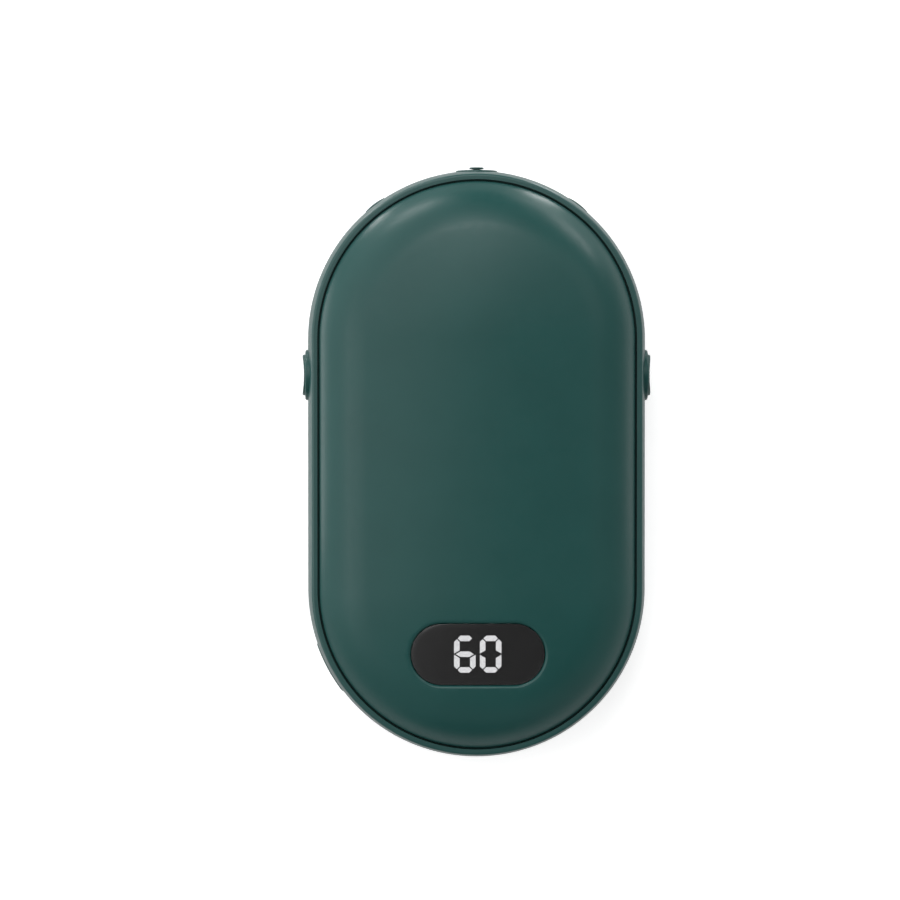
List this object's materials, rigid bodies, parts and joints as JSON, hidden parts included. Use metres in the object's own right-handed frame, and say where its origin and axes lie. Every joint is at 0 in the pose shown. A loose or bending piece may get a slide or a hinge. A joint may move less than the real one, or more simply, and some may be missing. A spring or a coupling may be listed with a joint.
{
  "type": "hand warmer",
  "caption": "Rechargeable pocket hand warmer: pebble-shaped painted case with a waist band, side push buttons, lit digit display, charging socket and lanyard stud.",
  "frame": {"origin": "centre of the flat on the rear cover that it rests on", "axes": "+Z out of the display face, +Y towards the lanyard stud, +X to the right of someone who reads the display"},
  "size_m": [0.062, 0.1048, 0.0272],
  "materials": {
    "cover_paint": "satin enamel, dark green-blue",
    "band_paint": "satin enamel, dark green-blue",
    "button_paint": "satin enamel, dark green-blue",
    "black_rubber": "matt",
    "seal_rubber": "matt, very dark green-blue",
    "smoked_lens": "smoked, polished",
    "lit_white": "lit from behind",
    "unlit_grey": "unlit diffuser",
    "black_plastic": "moulded",
    "white_plastic": "moulded",
    "lamp_yellow": "phosphor coat",
    "bright_steel": "plated",
    "board_green": "solder mask",
    "chip_black": "moulded",
    "ferrite_grey": "pressed ferrite",
    "ceramic_tan": "ceramic",
    "gold_contacts": "gold plated",
    "cell_foil": "laminate foil",
    "white_tape": "foam tape",
    "red_sleeve": "silicone sleeve",
    "black_sleeve": "silicone sleeve",
    "white_sleeve": "silicone sleeve",
    "heater_film": "polyimide film",
    "grey_foam": "open foam"
  },
  "bodies": {
    "case": {"front_cover": "cover_paint", "rear_cover": "cover_paint", "mid_frame": "band_paint", "front_seal": "seal_rubber", "rear_seal": "seal_rubber", "lens_gasket": "black_rubber", "display_lens": "smoked_lens", "lit_segments": "lit_white", "dark_segments": "unlit_grey", "display_housing": "black_plastic", "display_leds": "lamp_yellow", "left_button_ring": "band_paint", "right_button_ring": "band_paint", "left_switch": "black_plastic", "right_switch": "black_plastic", "lanyard_stud": "band_paint", "stud_nut": "bright_steel", "screw_plugs": "band_paint", "frame_screws": "bright_steel", "chassis_screws": "bright_steel", "board_screws": "bright_steel", "chassis": "black_plastic", "main_board": "board_green", "controller_chip": "chip_black", "inductor": "ferrite_grey", "capacitors": "ceramic_tan", "usb_shell": "bright_steel", "usb_tongue": "black_plastic", "usb_contacts": "gold_contacts", "battery_cell": "cell_foil", "battery_tape": "white_tape", "protection_board": "board_green", "positive_lead": "red_sleeve", "negative_lead": "black_sleeve", "rear_heater": "heater_film", "front_heater": "heater_film", "rear_foam": "grey_foam", "front_foam": "grey_foam", "rear_heater_leads": "white_sleeve", "front_heater_leads": "white_sleeve", "rear_thermistor": "black_sleeve", "front_thermistor": "black_sleeve"},
    "left_push": {"left_button": "button_paint", "left_switch_plunger": "white_plastic"},
    "right_push": {"right_button": "button_paint", "right_switch_plunger": "white_plastic"}
  },
  "joints": [
    {"name": "left_button_press", "type": "slide", "parent": "case", "child": "left_push", "axis": [1, 0, 0], "range_m": [0, 0.0005], "stiffness_N_per_m": 1600},
    {"name": "right_button_press", "type": "slide", "parent": "case", "child": "right_push", "axis": [-1, 0, 0], "range_m": [0, 0.0005], "stiffness_N_per_m": 1600}
  ]
}
